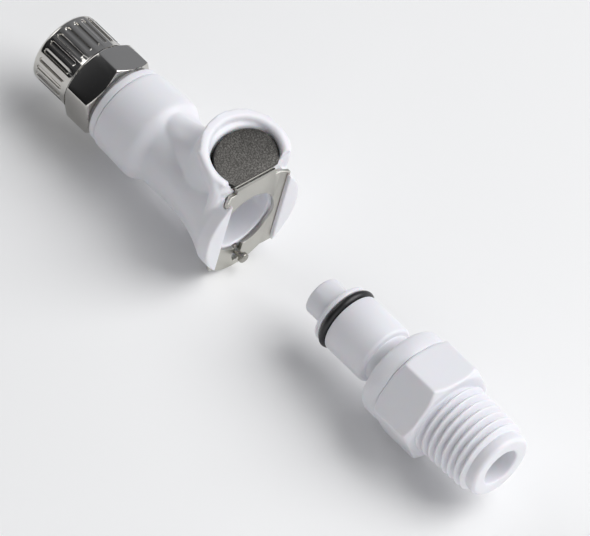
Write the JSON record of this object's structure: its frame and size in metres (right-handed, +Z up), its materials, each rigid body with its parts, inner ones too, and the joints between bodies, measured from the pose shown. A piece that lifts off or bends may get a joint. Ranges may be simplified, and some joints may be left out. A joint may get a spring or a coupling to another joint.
{
  "type": "quick disconnect tube coupling",
  "caption": "Plastic quick disconnect coupling: thumb-latched valved body half with a compression nut, and its valved plug-in insert with a pipe-threaded end.",
  "frame": {"origin": "on the common axis, at the open face of the compression nut where the tube goes in", "axes": "+X along the common axis from the tube end of the body towards the threaded end of the insert, +Z up on the thumb side, +Y completes the right-handed frame"},
  "size_m": [0.1045, 0.0196, 0.0259],
  "materials": {
    "white_acetal": "smooth moulded acetal, soft gloss",
    "nickel_plated_brass": "bright nickel plating on turned brass",
    "stainless_sheet": "satin rolled sheet",
    "stainless_pin": "turned, slightly dull",
    "spring_steel": "drawn wire",
    "black_rubber": "satin elastomer"
  },
  "bodies": {
    "coupling_body": {"body_shell": "white_acetal", "tube_adapter": "white_acetal", "latch_spring": "spring_steel", "lock_pin_spring": "spring_steel", "body_valve_spring": "spring_steel"},
    "nut": {"compression_nut": "nickel_plated_brass"},
    "latch": {"thumb_latch": "stainless_sheet"},
    "pin": {"lock_pin": "stainless_pin"},
    "body_valve": {"body_poppet": "white_acetal", "body_poppet_seal": "black_rubber"},
    "insert": {"insert_front": "white_acetal", "insert_adapter": "white_acetal", "insert_seal": "black_rubber", "insert_valve_spring": "spring_steel"},
    "insert_valve": {"insert_poppet": "white_acetal", "insert_poppet_seal": "black_rubber"}
  },
  "joints": [
    {"name": "insert_slide", "type": "slide", "parent": "coupling_body", "child": "insert", "axis": [-1, 0, 0], "range_m": [0, 0.03405]},
    {"name": "body_valve_slide", "type": "slide", "parent": "coupling_body", "child": "body_valve", "axis": [-1, 0, 0], "range_m": [0, 0.0016], "deforming": ["body_valve_spring"]},
    {"name": "insert_valve_slide", "type": "slide", "parent": "insert", "child": "insert_valve", "axis": [1, 0, 0], "range_m": [0, 0.0014], "deforming": ["insert_valve_spring"]},
    {"name": "latch_slide", "type": "slide", "parent": "coupling_body", "child": "latch", "axis": [0, 0, 1], "range_m": [0, 0.0014], "deforming": ["latch_spring"]},
    {"name": "lock_pin_slide", "type": "slide", "parent": "coupling_body", "child": "pin", "axis": [-1, 0, 0], "range_m": [0, 0.00084], "deforming": ["lock_pin_spring"]},
    {"name": "nut_turn", "type": "hinge", "parent": "coupling_body", "child": "nut", "pos_m": [0, 0, 0], "axis": [1, 0, 0], "continuous": true}
  ],
  "couplings": [
    {"joint": "body_valve_slide", "follows": "insert_slide", "ratio": 0.0469},
    {"joint": "insert_valve_slide", "follows": "insert_slide", "ratio": 0.0411},
    {"joint": "lock_pin_slide", "follows": "latch_slide", "ratio": 0.6}
  ]
}
